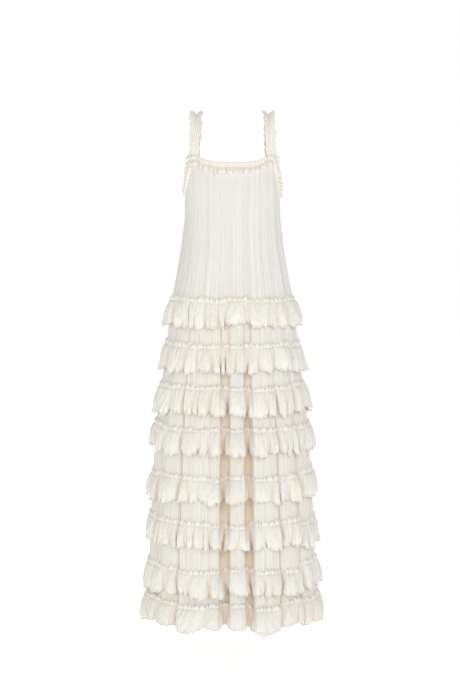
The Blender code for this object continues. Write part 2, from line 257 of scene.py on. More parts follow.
def crepe(name, cloth, shade, deep, edge, sheen):
    """Pleated crepe: crinkles that run along the pleats over a plain weave, with painted warm shade in
    its folds.
    """
    material = bpy.data.materials.new(name)
    material.use_nodes = True
    nodes, links = material.node_tree.nodes, material.node_tree.links
    shader = nodes["Principled BSDF"]
    for setting, value in (
        ("Metallic", 0.0), ("Specular IOR Level", 0.25), ("Sheen Weight", sheen),
        ("Sheen Roughness", 0.45), ("Sheen Tint", (1.0, 0.97, 0.92, 1.0)),
    ):
        shader.inputs[setting].default_value = value

    # Relief: long crinkles and a fine weave, in metres of cloth.
    place = nodes.new("ShaderNodeUVMap")
    place.uv_map = "UVMap"
    stretch = new_node(nodes, "ShaderNodeMapping", {"Scale": (620.0, 110.0, 1.0)})
    crinkle = new_node(nodes, "ShaderNodeTexNoise", {"Scale": 1.0, "Detail": 3.0})
    links.new(place.outputs["UV"], stretch.inputs["Vector"])
    links.new(stretch.outputs["Vector"], crinkle.inputs["Vector"])
    threads = []
    for direction, scale in (("X", 330.0), ("Y", 300.0)):
        thread = new_node(
            nodes, "ShaderNodeTexWave", {"Scale": scale, "Distortion": 1.2, "Detail": 1.0}
        )
        thread.bands_direction = direction
        links.new(place.outputs["UV"], thread.inputs["Vector"])
        threads.append(thread)
    weave = nodes.new("ShaderNodeMath")
    weave.operation = "MULTIPLY"
    links.new(threads[0].outputs["Fac"], weave.inputs[0])
    links.new(threads[1].outputs["Fac"], weave.inputs[1])
    relief = new_node(nodes, "ShaderNodeMath", {1: 0.25})
    relief.operation = "MULTIPLY_ADD"
    links.new(weave.outputs["Value"], relief.inputs[0])
    links.new(crinkle.outputs["Fac"], relief.inputs[2])
    bump = new_node(nodes, "ShaderNodeBump", {"Strength": 0.55, "Distance": 0.0007})
    links.new(relief.outputs["Value"], bump.inputs["Height"])
    links.new(bump.outputs["Normal"], shader.inputs["Normal"])
    dull = new_node(nodes, "ShaderNodeMapRange", {"To Min": 0.72, "To Max": 0.95})
    links.new(crinkle.outputs["Fac"], dull.inputs["Value"])
    links.new(dull.outputs["Result"], shader.inputs["Roughness"])

    # Colour: soft random patches first, then painted shade in the pleats, along the edges and in the
    # folds, each laid over the last.
    position = nodes.new("ShaderNodeTexCoord")
    cloud = new_node(nodes, "ShaderNodeTexNoise", {"Scale": 9.0, "Detail": 4.0})
    links.new(position.outputs["Object"], cloud.inputs["Vector"])
    patches = new_node(
        nodes, "ShaderNodeMapRange", {"From Min": 0.35, "From Max": 0.75, "To Max": 0.30}
    )
    links.new(cloud.outputs["Fac"], patches.inputs["Value"])
    lying = nodes.new("ShaderNodeAttribute")
    lying.attribute_name = "painted_shade"
    shares = nodes.new("ShaderNodeSeparateColor")
    links.new(lying.outputs["Color"], shares.inputs["Color"])
    colour = None
    # Painted shade: green darkens the pleat valleys, blue the stitching, seams and creases, red the
    # deep folds and recesses.
    for share, tone in (
        (patches.outputs["Result"], shade),
        (shares.outputs["Green"], shade),
        (shares.outputs["Blue"], edge),
        (shares.outputs["Red"], deep),
    ):
        blend = nodes.new("ShaderNodeMix")
        blend.data_type = "RGBA"
        blend.inputs[7].default_value = (*tone, 1.0)
        links.new(share, blend.inputs[0])
        if colour is None:
            blend.inputs[6].default_value = (*cloth, 1.0)
        else:
            links.new(colour, blend.inputs[6])
        colour = blend.outputs[2]
    links.new(colour, shader.inputs["Base Color"])
    return material


def finish_cloth(piece, material, replaced):
    """Gives a piece of cloth its finish and its place in the model, and hides the parts it replaces."""
    piece.data.materials.clear()
    piece.data.materials.append(material)
    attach(piece, "root")
    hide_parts(*replaced)


ivory_crepe = crepe(
    "ivory_crepe", IVORY, IVORY_SHADE, (0.66, 0.55, 0.44), (0.84, 0.76, 0.66), 0.18
)


def upright_panel(name, start, pleats, top, bottom_z, rows, even_z, depth_at_top, seed):
    """A pleated panel between the two side seams, its pleats let in from the dress's outer face.

    At the height even_z the pleats are evenly spaced, and near the top they have depth_at_top.
    """
    angles = evenly_round(even_z, start, start + 180, pleats * 8 + 1)
    across = np.linspace(0, 1, len(angles))
    share = np.linspace(1, 0, rows)[:, None]
    top_z = top(angles)
    z = top_z + (bottom_z - top_z) * share
    count = pleats * across + 0.55 * wander(across * pleats, seed, 9.0)
    count = count + 0.22 * wander(z + 0.004 * across * pleats, seed + 1, 0.45)
    ridge = ridges(count, seed, 0.7)
    strength = np.interp(z, (-0.42, -0.12), (1.0, depth_at_top))
    swell = wander(across * pleats, seed + 2, 11.0) * 0.0014 + wander(z, seed + 3, 0.5) * 0.0005
    swell = swell + 0.0009 * wander(across * pleats + 2 * wander(z, seed + 5, 0.6), seed + 6, 4.3)
    side = np.minimum(across, 1 - across) * length_along(on_dress(angles, z[0]))[-1]
    seam = np.exp(-((side / 0.0022) ** 2))
    out = (ridge - 1) * BODICE_PLEAT_DEPTH * strength + (swell - 0.0012) * strength - 0.0008 * seam
    fold = fold_at(angles)
    points = on_dress(angles, z, fold, out)
    grown = np.interp(z, section_heights, section_sizes[4])
    # Painted shade: in the skirt's folds and recesses (red), in the pleat valleys and in uneven groups
    # of pleats (green), and darker along the side seams (blue).
    shaded = 0.45 * strength * np.clip(-wander(across * pleats, seed + 4, 5.0), 0, 1)
    tint = np.stack([
        np.clip((fold * grown - 0.004) / 0.024, 0, 1) ** 0.8 + 0 * z,
        (1 - ridge) ** 1.5 * 0.80 * strength + shaded,
        0.5 * seam + 0 * z,
    ], axis=-1)
    return sheet_of_cloth(name, points, tint)


for half, start, seed in (("front", -90, 11), ("back", 90, 12)):
    panel = upright_panel(
        f"pleated_bodice_{half}", start, BODICE_PLEATS, neckline_z, WAIST_SEAM_Z, BODICE_ROWS,
        BODICE_EVEN_Z, BODICE_TOP_STRENGTH, seed,
    )
    finish_cloth(panel, ivory_crepe, (f"bodice_{half}",))


# Skirt. A front and a back panel of the same pleated crepe in a warmer tone, seamed to the bodice
# behind the first flounce. It hangs in broad columns with deep folds between, down to the hem.
SKIRT_HEM_Z = -1.412
SKIRT_PLEATS = 96
SKIRT_ROWS = 47
SKIRT_EVEN_Z = -0.95
CREAM = (0.855, 0.850, 0.806)
CREAM_SHADE = (0.765, 0.732, 0.665)

cream_crepe = crepe(
    "cream_crepe", CREAM, CREAM_SHADE, (0.825, 0.72, 0.59), (0.86, 0.76, 0.64), 0.18
)
for half, start, seed in (("front", -90, 21), ("back", 90, 22)):
    panel = upright_panel(
        f"pleated_skirt_{half}", start, SKIRT_PLEATS, lambda angle: 0 * angle + WAIST_SEAM_Z,
        SKIRT_HEM_Z, SKIRT_ROWS, SKIRT_EVEN_Z, 1.0, seed,
    )
    finish_cloth(panel, cream_crepe, (f"skirt_{half}",))


# Flounces. Eight strips of soft cream crepe, each 1.6 to 1.7 times as long as the skirt is round,
# gathered and stitched on just below their upper edge. That edge stands up as a beaded heading, and
# the cloth below swells into wide bells and narrow flutes, down to a fine rolled, curling hem.
FLOUNCE_SEAM_Z = (-0.519, -0.644, -0.761, -0.869, -1.003, -1.133, -1.259, -1.361)
FLOUNCE_DROP = 0.066
FLOUNCE_STAND_OFF = 0.0105
FLOUNCE_WAVE = 0.0080
FLOUNCE_COLUMNS = 1320
HEADING = (  # height above the stitching, how far a bead stands out, how much of it shows
    (0.0166, -0.0062, 0.0), (0.0150, -0.0034, 0.2), (0.0136, -0.0008, 0.7), (0.0118, 0.0018, 1.0),
    (0.0090, 0.0038, 1.0), (0.0056, 0.0046, 0.9), (0.0022, 0.0036, 0.5), (0.0008, 0.0026, 0.1),
)
HEM_BEAD = (  # below the hem's height and outwards, down to the rolled edge and up behind it
    (-0.0036, -0.0004), (-0.0020, -0.0001), (-0.0008, 0.0015), (0.0008, 0.0019), (0.0017, 0.0003),
    (0.0004, -0.0012), (-0.0026, -0.0012),
)
SKIRT_CLEARANCE = 0.0012
STITCH_STAND_OFF = 0.0024
STRIP_SPREAD = 2.2  # metres of gathers and creases laid out for each metre round
BEAD_PITCH = 0.0138
GATHER_PITCH = 0.0110
PLEAT_PITCH = 0.0100
PUCKER_PITCH = 0.0135
LOW_FOLD_PITCH = 0.034
SCALLOP_PITCH = 0.035
SCALLOP_OUT = 0.0042
SCALLOP_DOWN = 0.0066
CREASE_HEIGHT = 0.0036
CREASE_BASE = 0.0020
FINE_CREASE_DEPTH = 0.0012
FINE_CREASE_SCALE = 1.6
HEM_TURN_IN = 0.0046
HEM_LIP = 0.0014
SEAM_DIP = 0.0100
RIPPLE_REACH = 0.010
FLOUNCE_CREAM = (0.872, 0.870, 0.832)
FLOUNCE_SHADE = (0.840, 0.808, 0.732)

flounce_crepe = crepe(
    "flounce_crepe", FLOUNCE_CREAM, FLOUNCE_SHADE, (0.79, 0.69, 0.575), (0.86, 0.79, 0.69), 0.20
)


def bells(tier, rng, round_length, length_at):
    """Where one flounce's bells begin round the ring, parted at the skirt's recesses and waves."""
    troughs = [length_at(fold_angles[i]) for i in range(len(fold_angles)) if (i + tier) % 4 == 2]
    parted = [length_at(angle) for angle, depth in recesses if depth > 0.011]
    for trough in troughs:
        if min(abs(trough - other) for other in parted) > 0.024:
            parted.append(trough)
    parted = np.sort(np.array(parted) % round_length)
    deep = np.array([length_at(angle) for angle, depth in recesses if depth > DEEP_RECESS])
    starts = []
    for start, end in zip(parted, np.append(parted[1:], parted[0] + round_length)):
        span = end - start
        if span < 0.055:
            parts = rng.choice([1, 2], p=[0.7, 0.3])
        else:
            parts = rng.choice([1, 2, 3], p=[0.42, 0.43, 0.15])
        between_deep = min(abs(deep - start)) < 0.001 and min(abs(deep - end)) < 0.001
        if span < 0.030 or between_deep:
            parts = 1
        shares = rng.uniform(0.5, 1.7, parts)
        starts.extend(start + span * np.cumsum(np.append(0, shares[:-1])) / shares.sum())
    return np.array(starts)


def creases(across, down, seed):
    """Sharp little folds of handled cloth, running aslant, 0 between them and up to 1 on them."""
    rng = np.random.default_rng(seed)
    lines = 0
    for _ in range(8):
        wide, tall = rng.uniform(0.030, 0.064), rng.uniform(0.036, 0.110) * rng.choice([-1, 1])
        phase = across / wide + down / tall + rng.random()
        phase = phase + 0.25 * np.sin(2 * np.pi * (down / 0.05 + rng.random()))
        lines = np.maximum(lines, (1 - np.abs(np.sin(np.pi * phase))) ** 2.4 * rng.uniform(0.4, 1.0))
    return lines


def fine_creases(strip, drop):
    """The second, closer set of creases, on one row of a flounce."""
    across, down = strip.cloth_place * FINE_CREASE_SCALE, drop * FINE_CREASE_SCALE
    return creases(across, down, strip.seed + 22)


def scallops(cloth_place, seed):
    """Small round scallops of a stretched hem with a nick between each two, negative in the nicks."""
    count = cloth_place / SCALLOP_PITCH + 0.60 * wander(cloth_place, seed + 20, 0.15)
    size = np.random.default_rng(seed + 21).uniform(0.25, 1.25, DRAWN_SIZES)
    rounded = np.abs(np.sin(np.pi * count)) ** 0.7
    return (rounded - 0.6) * size[np.floor(count).astype(int) % DRAWN_SIZES]


def big_waves(tier, angle):
    """The big waves that a whole flounce swings in, as on the plain solid."""
    waves = np.arange(len(fold_angles) // 4 + 2) - 0.5
    evenness = 1 - 0.22 * (1 - np.sin(2.1 * np.floor(waves) + 1.3 * tier))
    index = np.interp(angle, np.append(fold_angles, 270), np.arange(len(fold_angles) + 1))
    return np.cos(2 * np.pi * (index + tier) / 4) * np.interp(index / 4, waves, evenness)


def lay_out_strip(tier):
    """A flounce's strip before it is shaped: how its cloth is shared out, and how each bell hangs."""
    seed = 40 + 30 * tier
    rng = np.random.default_rng(seed)
    strip = SimpleNamespace(tier=tier, seed=seed, seam_z=FLOUNCE_SEAM_Z[tier])
    ring_angles = np.linspace(-90, 270, 24001)
    ring_lengths = length_along(on_dress(ring_angles, strip.seam_z - 0.6 * FLOUNCE_DROP))
    around = ring_lengths[-1]
    strip.length_at = lambda angle: np.interp(angle, ring_angles, ring_lengths)
    strip.angle_at = lambda place: np.interp(place % around, ring_lengths, ring_angles)
    starts = bells(tier, rng, around, strip.length_at)
    count = len(starts)
    widths = np.diff(np.append(starts, starts[0] + around))

    # Every parting leans its own way, lets the hem rise by its own height and lies as deep as it can.
    room = np.minimum(widths, np.roll(widths, 1))
    partings = (
        np.clip(rng.normal(0, 0.0065, count), -0.18 * room, 0.18 * room),
        np.clip(rng.normal(0, 0.0030, count), -0.08 * room, 0.08 * room),
        rng.uniform(0.0040, 0.0150, count),
        rng.uniform(0.0030, 0.0062, count),
    )
    strip.lean, strip.bow, rise, valley = (np.append(values, values[0]) for values in partings)

    # The strip's points are shared out over the bells, with more cloth in the narrow ones.
    cloth = widths**0.85
    edges = np.concatenate([[0.0], np.cumsum(cloth)]) / cloth.sum()
    share = np.linspace(0, 1, FLOUNCE_COLUMNS + 1)[:-1]
    bell = np.clip(np.searchsorted(edges, share, side="right") - 1, 0, count - 1)
    within = (share - edges[bell]) / (edges[bell + 1] - edges[bell])
    strip.bell, strip.within, strip.width, strip.start = bell, within, widths[bell], starts[bell]
    strip.place = strip.start + strip.width * within
    strip.cloth_place = share * around * STRIP_SPREAD

    # Each bell has its own fullness, curl and sag.
    strip.fullness = (np.clip(0.20 * widths, 0.0050, 0.0115) * rng.uniform(0.8, 1.2, count))[bell]
    strip.overhang = rng.uniform(0.10, 0.150, count)[bell]
    strip.sag = rng.normal(0, 0.0036, count)[bell]
    wide_curl, narrow_curl = rng.uniform(0.15, 0.60, count), rng.uniform(-0.20, 0.35, count)
    strip.curl = np.where(widths > 0.034, wide_curl, narrow_curl)[bell]
    strip.turned_up = rng.uniform(-0.0030, 0.0026, count)[bell]
    strip.pleated = rng.uniform(0.3, 1.7, count)[bell]
    strip.low_swell = rng.uniform(0.45, 0.75, count)[bell]
    strip.flat_top = 1 - np.abs(np.cos(np.pi * within)) ** rng.uniform(2.6, 5.5, count)[bell]
    strip.one_side = rng.uniform(-0.35, 0.35, count)[bell] * np.sin(2 * np.pi * within)
    nearer = within**2 * (3 - 2 * within)
    strip.edge_rise = rise[bell] + (rise[bell + 1] - rise[bell]) * nearer
    strip.edge_valley = valley[bell] + (valley[bell + 1] - valley[bell]) * nearer

    # The heading's beads, the hem's scallops, and how far the skirt's folds have grown here.
    bead = strip.place / BEAD_PITCH + 0.70 * wander(strip.place, seed + 3, 0.09)
    bead_sizes = np.random.default_rng(seed + 4).uniform(0.45, 1.15, DRAWN_SIZES)
    strip.puff = np.abs(np.sin(np.pi * bead)) ** 0.85 * bead_sizes[np.floor(bead).astype(int)]
    strip.scallop = scallops(strip.cloth_place, seed)
    half_down = strip.seam_z - 0.5 * FLOUNCE_DROP
    strip.folded = np.interp(half_down, section_heights, section_sizes[4]) ** 1.5

    # The seam hangs unevenly from column to column. The lower ones dip in front, and the cloth
    # below them is a little shorter there.
    column_ends = strip.length_at([angle for angle, _ in recesses])
    column = np.searchsorted(column_ends, strip.place % around) % len(recesses)
    drawn = np.random.default_rng(seed + 7).uniform(-1.6, 1.6, len(recesses))
    uneven = smoothed((0.0018 + 0.0006 * tier) * drawn[column], 17, "wrap")
    uneven = uneven + 0.0014 * wander(strip.place, seed + 8, around / 3)
    front = np.clip(np.cos(np.radians(strip.angle_at(strip.place))), 0, 1) ** 0.7
    strip.dip = np.interp(tier, (2, 3, 7), (0.1, 0.8, 1.0)) * front
    strip.uneven = uneven - SEAM_DIP * strip.dip
    return strip


def heading_row(strip, up, stand, show):
    """One row of the beaded edge that stands up above the stitching: its points and its tints."""
    puff = strip.puff
    gather = ridges(strip.cloth_place / GATHER_PITCH, strip.seed + 6) - 0.55
    out = 0.0008 + stand * (1 - show * (0.72 - 0.82 * puff)) + 0.0009 * gather * show
    z = strip.seam_z + strip.uneven + up * (0.42 + 0.74 * puff + 0.08 * gather * puff)
    tilt = 0.0022 * show * wander(strip.place, strip.seed + 9, 0.026)
    angle = strip.angle_at(strip.place + tilt)
    fold = fold_at(angle)
    # Painted shade: in the skirt's folds and between the beads (red), in the gathers' valleys (green),
    # and between the beads and along the heading's top rows (blue).
    tint = np.stack([
        10 * strip.folded * fold + 0.5 * np.clip(0.45 - puff, 0, 1) * show,
        0.4 * (0.45 - gather) + 0 * angle,
        np.clip(1.5 * (0.66 - puff) * show + 0.5 * (1 - show), 0, 1),
    ], axis=-1)
    return on_dress(angle, z, fold, out), tint


def bell_shape(strip, drop, below, grown):
    """How far along the ring and how far out a row lies: its bells, creases and curling hem."""
    flat_top, cloth, seed = strip.flat_top, strip.cloth_place, strip.seed
    past_hem = drop - FLOUNCE_DROP
    near_hem = hump(past_hem, RIPPLE_REACH)

    # Along the ring: the bell's overhanging sides and its lean.
    neck = np.minimum(1, flat_top / 0.4)
    swell = grown * (1 - 0.30 * below**6)
    full = strip.within - strip.overhang * swell * np.sin(2 * np.pi * strip.within) * neck
    shift = strip.lean * grown + strip.bow * math.sin(math.pi * below)
    shift, next_shift = shift[strip.bell], shift[strip.bell + 1]
    along = strip.start + shift + (strip.width + next_shift - shift) * full
    along = along + 0.0016 * grown * crumple(cloth, drop, seed + 11, 0.034, 0.070) * flat_top

    # Outwards: the bell's full face and the valleys between, then dents and creases, then the hem.
    billow = grown * (1 - strip.curl * below**3)
    billow = billow * (1 + 0.25 * np.sin(np.pi * below**strip.low_swell * 1.2))
    out = strip.fullness * billow * flat_top * (0.45 + strip.one_side)
    out = out - strip.edge_valley * (1 - flat_top) * grown
    dents = crumple(cloth, drop, seed + 12, 0.050, 0.075)
    out = out + 0.0020 * grown * dents * (0.4 + 0.6 * flat_top)
    out = out + 0.0009 * grown * flat_top * crumple(cloth, drop, seed + 23, 0.038, 0.030)
    out = out + (CREASE_HEIGHT * creases(cloth, drop, seed + 17) - CREASE_BASE) * grown * flat_top
    out = out - FINE_CREASE_DEPTH * fine_creases(strip, drop) ** 2 * grown * flat_top
    low_count = cloth / LOW_FOLD_PITCH + 0.5 * wander(cloth, seed + 18, 0.12)
    low_folds = ridges(low_count, seed + 19) - 0.5
    out = out + 0.0028 * low_folds * flat_top * hump(past_hem, 0.026)
    out = out + near_hem * (0.0024 * wander(cloth, seed + 13, 0.042) + strip.turned_up * flat_top)
    out = out + near_hem * SCALLOP_OUT * strip.scallop - HEM_TURN_IN * below**7
    return along, out


def stand_pleats(strip, drop, below, along, out):
    """Fine pleats that stand square to the cloth, strongest where the stitching gathers them."""
    cloth, seed = strip.cloth_place, strip.seed
    fine_count = cloth / PLEAT_PITCH + 0.5 * wander(cloth, seed + 14, 0.08)
    fine = ridges(fine_count, seed + 5, 0.8) - 0.45
    pucker_count = cloth / PUCKER_PITCH + 0.3 * wander(cloth, seed + 15, 0.1)
    pucker = ridges(pucker_count, seed + 6) - 0.55
    gathered = hump(drop, 0.034) * min(1, (drop + 0.001) / 0.006)
    height = fine * strip.pleated * (0.0009 - 0.0002 * below * strip.flat_top)
    height = height + (0.0016 * pucker + 0.0042 * (strip.puff - 0.5)) * gathered
    slope_along, slope_out = np.gradient(along), np.gradient(out)
    steep = np.hypot(slope_along, slope_out) + 1e-9
    along = along - height * slope_out / steep
    out = out + height * slope_along / steep
    shade = strip.pleated * (0.4 - fine) * (1.4 - 0.9 * below * strip.flat_top)
    return along, out, np.clip(shade - 75 * height * gathered, 0, 0.9)


def falling_row(strip, drop, roll):
    """One row of the cloth that falls from the stitching: its points and its tints."""
    below = min(1.0, drop / FLOUNCE_DROP)
    grown = below**0.62
    past_hem = drop - FLOUNCE_DROP
    near_hem = hump(past_hem, RIPPLE_REACH)
    flat_top, cloth, seed = strip.flat_top, strip.cloth_place, strip.seed
    along, out = bell_shape(strip, drop, below, grown)
    along, out, pleat_shade = stand_pleats(strip, drop, below, along, out)

    angle = strip.angle_at(along)
    swing = big_waves(strip.tier, angle)
    swing = swing * below**0.65
    spring = 1.30 * below**0.50 - 0.42 * below**4
    stand_off = STITCH_STAND_OFF + (FLOUNCE_STAND_OFF - STITCH_STAND_OFF) * spring
    lip = HEM_LIP * hump(past_hem, 0.0030)
    out = stand_off + out + FLOUNCE_WAVE * 0.8 * swing + roll + lip
    lowest = SKIRT_CLEARANCE * np.exp(np.minimum(0, out / SKIRT_CLEARANCE - 1) * 0.5)
    out = np.where(out < SKIRT_CLEARANCE, lowest, out)
    lifted = below**3 * (strip.edge_rise * (1 - np.sin(np.pi * strip.within) ** 0.6) - 0.0022)
    ripple = near_hem * (0.0018 * wander(cloth, seed + 16, 0.034) - SCALLOP_DOWN * strip.scallop)
    z = strip.seam_z + strip.uneven - drop * (1 - 0.13 * strip.dip) - 0.0025 * swing
    z = z + lifted + grown * strip.sag * flat_top + ripple
    fold = fold_at(angle) * (1 - 0.12 * below - 0.75 * below * flat_top)

    # Painted shade: under the stitching (stitched), in a line above the hem and in its nicks, in the
    # slits between the bells, along the fine creases, and in the skirt's folds.
    stitched = hump(drop - 0.0010, 0.0030) * (0.95 - 0.5 * strip.puff)
    shade_above_hem = 0.90 * hump(past_hem + 0.0026, 0.0014)
    shade_above_hem = shade_above_hem + near_hem * np.clip(-1.4 * strip.scallop, 0, 0.7)
    slit_shade = (1 - flat_top) ** 1.5 * grown * 0.6
    crease_shade = 0.75 * fine_creases(strip, drop) ** 3 * flat_top * grown
    tint = np.stack([
        np.clip(slit_shade + 22 * strip.folded * fold * (1 - flat_top * 0.6) - 0.06, 0, 1),
        pleat_shade,
        np.clip(stitched + shade_above_hem + crease_shade, 0, 1) + 0 * angle,
    ], axis=-1)
    return on_dress(angle, z, fold, out), tint


def make_flounce(tier):
    """One flounce as a closed ring, its rows from the top of the heading down to the rolled hem."""
    strip = lay_out_strip(tier)
    lower = FLOUNCE_DROP * np.linspace(0, 1, 16)[:-1] ** 1.15
    drops = np.append(lower, [FLOUNCE_DROP + down for down, _ in HEM_BEAD])
    rolls = np.append(0 * lower, [out for _, out in HEM_BEAD])
    rows = [heading_row(strip, *row) for row in HEADING]
    rows += [falling_row(strip, drop, roll) for drop, roll in zip(drops, rolls)]
    points, tint = (np.array(parts)[::-1] for parts in zip(*rows))
    points, tint = (np.concatenate([parts, parts[:, :1]], axis=1) for parts in (points, tint))
    return sheet_of_cloth(f"gathered_flounce_{tier + 1}", points, tint, ring=True)


for tier in range(len(FLOUNCE_SEAM_Z)):
    flounce = make_flounce(tier)
    halves = (f"flounce_{tier + 1}_front", f"flounce_{tier + 1}_back")
    finish_cloth(
        flounce, flounce_crepe, halves,
    )


# Ruffles of the neckline and the armholes. Soft doubled strips of the cream crepe, gathered and
# sewn over the bodice's raw edges: a flat binding with puffs below it round the neck, and two rows
# of small puffs, one on each side of the stitching, round the arms.
NECK_RUFFLE_DEPTH = 0.028
NECK_BINDING = 0.013
NECK_PUFF = 0.0170
ARM_PUFF = 0.0125
ARM_RUFFLE_REACH = 25.5  # degrees to each side of the underarm
ARM_STITCHES = 0.0047
NECK_RUFFLE = (  # how far below the edge, how far out, and how much it puffs
    (0.0060, -0.0028, 0.0), (0.0022, -0.0030, 0.0), (0.0002, -0.0016, 0.0), (-0.0006, 0.0004, 0.0),
    (0.0004, 0.0022, 0.1), (0.0024, 0.0026, 0.15), (0.0052, 0.0024, 0.2), (0.0085, 0.0024, 0.3),
    (0.0112, 0.0024, 0.3), (0.0130, 0.0020, 0.2), (0.0148, 0.0028, 0.5), (0.0172, 0.0044, 0.8),
    (0.0205, 0.0056, 1.0), (0.0238, 0.0062, 1.0), (0.0264, 0.0058, 1.0), (0.0282, 0.0044, 0.9),
    (0.0290, 0.0024, 0.7), (0.0288, 0.0002, 0.4), (0.0276, -0.0030, 0.2),
)
ARM_RUFFLE = (  # how far below the edge, how far out, how much it puffs, and 1 in the upper row
    (-0.0010, 0.0012, 0.1, 1), (-0.0036, 0.0020, 0.5, 1), (-0.0058, 0.0040, 0.9, 1),
    (-0.0064, 0.0070, 1.0, 1), (-0.0050, 0.0094, 1.0, 1), (-0.0020, 0.0098, 1.0, 1),
    (0.0010, 0.0078, 0.8, 1), (0.0030, 0.0044, 0.5, 1), (0.0042, 0.0016, 0.1, 1),
    (0.0052, 0.0016, 0.1, 0), (0.0066, 0.0042, 0.5, 0), (0.0088, 0.0072, 0.9, 0),
    (0.0116, 0.0086, 1.0, 0), (0.0142, 0.0078, 1.0, 0), (0.0158, 0.0054, 0.9, 0),
    (0.0160, 0.0026, 0.6, 0), (0.0156, -0.0010, 0.2, 0), (0.0150, -0.0040, 0.0, 0),
)

ruffle_crepe = crepe(
    "ruffle_crepe", (0.925, 0.912, 0.864), (0.86, 0.82, 0.74), (0.78, 0.68, 0.57),
    (0.88, 0.80, 0.70), 0.20,
)


def along_edge(start, end, count):
    """Angles evenly spaced along the bodice's top edge, and the edge's length."""
    angles = np.linspace(start, end, 4001)
    length = length_along(on_dress(angles, neckline_z(angles)))
    return np.interp(np.linspace(0, length[-1], count), length, angles), length[-1]


def puffs(place, pitch, seed):
    """Uneven round puffs along a gathered edge, 0 in each tuck and 1 on each puff."""
    count = place / pitch + 0.40 * wander(place, seed, 0.11)
    size = 0.38 + 0.62 * np.random.default_rng(seed).random(DRAWN_SIZES)
    small = np.abs(np.sin(np.pi * (2.3 * count + wander(place, seed + 1, 0.05))))
    puff = np.abs(np.sin(np.pi * count)) ** 0.65 * size[np.floor(count).astype(int) % DRAWN_SIZES]
    return puff * (0.72 + 0.28 * small)


def make_neck_ruffle(half, middle, seed):
    """Half of the neckline's ruffle, between the outer edges of the straps."""
    angles, length = along_edge(middle - STRAP_OUTER_ANGLE, middle + STRAP_OUTER_ANGLE, 460)
    place = np.linspace(0, length, len(angles))
    puff = puffs(place, NECK_PUFF, seed)
    gathers = ridges(place / 0.0070 + 0.6 * wander(place, seed + 4, 0.06), seed + 1, 0.8)
    top = neckline_z(angles)
    rows, tints = [], []
    for drop, stand, puffed in NECK_RUFFLE:
        crumpled = crumple(place, drop, seed + 3, 0.016, 0.02)
        out = stand + puffed * (0.0062 * (puff - 0.35) + 0.0016 * crumpled)
        out = out + 0.0019 * (gathers - 0.5) * (1 - 0.5 * puffed) * (stand > 0)
        below = max(0.0, drop - NECK_BINDING) / (NECK_RUFFLE_DEPTH - NECK_BINDING)
        z = top - drop - below * 0.0072 * (puff - 0.5)
        z = z + 0.0010 * (1 + below) * wander(place, seed + 2, 0.04)
        sway = np.sin(2 * np.pi * place / NECK_PUFF / 2 + wander(place, seed + 5, 0.1))
        turned = np.interp(place + below * 0.0016 * sway, place, angles)
        rows.append(on_dress(turned, z, 0.0, out))
        # Painted shade in the tucks between the puffs (tuck), in the gathers' valleys, and along the
        # stitching under the binding.
        tuck = (1 - puff) ** 1.3 * puffed
        stitch_crease_shade = hump(drop - NECK_BINDING, 0.0018) * 0.45
        tints.append(np.stack([
            0.70 * tuck,
            0.50 * (1 - gathers),
            np.clip(stitch_crease_shade * (1.2 - gathers) + 0.35 * tuck, 0, 1) + 0 * z,
        ], axis=-1))
    piece = sheet_of_cloth(f"neck_ruffle_cloth_{half}", np.array(rows)[::-1], np.array(tints)[::-1])
    finish_cloth(
        piece, ruffle_crepe, (f"neck_ruffle_{half}",),
    )


def make_arm_ruffle(side, middle, seed):
    """The ruffle of one armhole, from strap to strap under the arm."""
    angles, length = along_edge(middle - ARM_RUFFLE_REACH, middle + ARM_RUFFLE_REACH, 480)
    place = np.linspace(0, length, len(angles))
    edge = on_dress(angles, neckline_z(angles))
    level = np.gradient(length_along(edge[:, :2]))
    rising = np.gradient(edge[:, 2])
    steep = np.hypot(level, rising)
    degrees = np.gradient(angles) / np.maximum(level, 1e-6)
    upper, lower = puffs(place, ARM_PUFF, seed), puffs(place + 0.005, ARM_PUFF, seed + 7)
    gathers = ridges(place / 0.0040, seed + 1)
    rows, tints = [], []
    for drop, stand, puffed, is_upper in ARM_RUFFLE:
        puff = upper if is_upper else lower
        reach = drop + (-1 if is_upper else 1) * puffed * 0.0024 * (puff - 0.5)
        out = stand * (0.45 + 0.75 * puff) + 0.0007 * (gathers - 0.6)
        out = out + 0.0006 * crumple(place, drop, seed + 2)
        angle = angles + reach * rising / steep * degrees
        z = edge[:, 2] - reach * level / steep
        rows.append(on_dress(angle, z, 0.0, np.maximum(out, 0.0004) if stand > 0 else stand))
        # Painted shade in the tucks between the puffs (tuck), in the gathers' valleys, and along the
        # stitching.
        tuck = (1 - puff) ** 1.2 * puffed
        stitch_crease_shade = hump(drop - ARM_STITCHES, 0.0012) * 0.7
        tints.append(np.stack([
            0.45 * tuck + 0.2 * stitch_crease_shade,
            0.3 * (1 - gathers),
            np.clip(stitch_crease_shade + 0.4 * tuck, 0, 1) + 0 * z,
        ], axis=-1))
    points, tint = np.array(rows)[::-1], np.array(tints)[::-1]
    piece = sheet_of_cloth(f"armhole_ruffle_cloth_{side}", points, tint)
    finish_cloth(
        piece, ruffle_crepe, (f"armhole_ruffle_{side}",),
    )


make_neck_ruffle("front", 0, 61)
make_neck_ruffle("back", 180, 62)
make_arm_ruffle("right", -90, 63)
make_arm_ruffle("left", 90, 64)


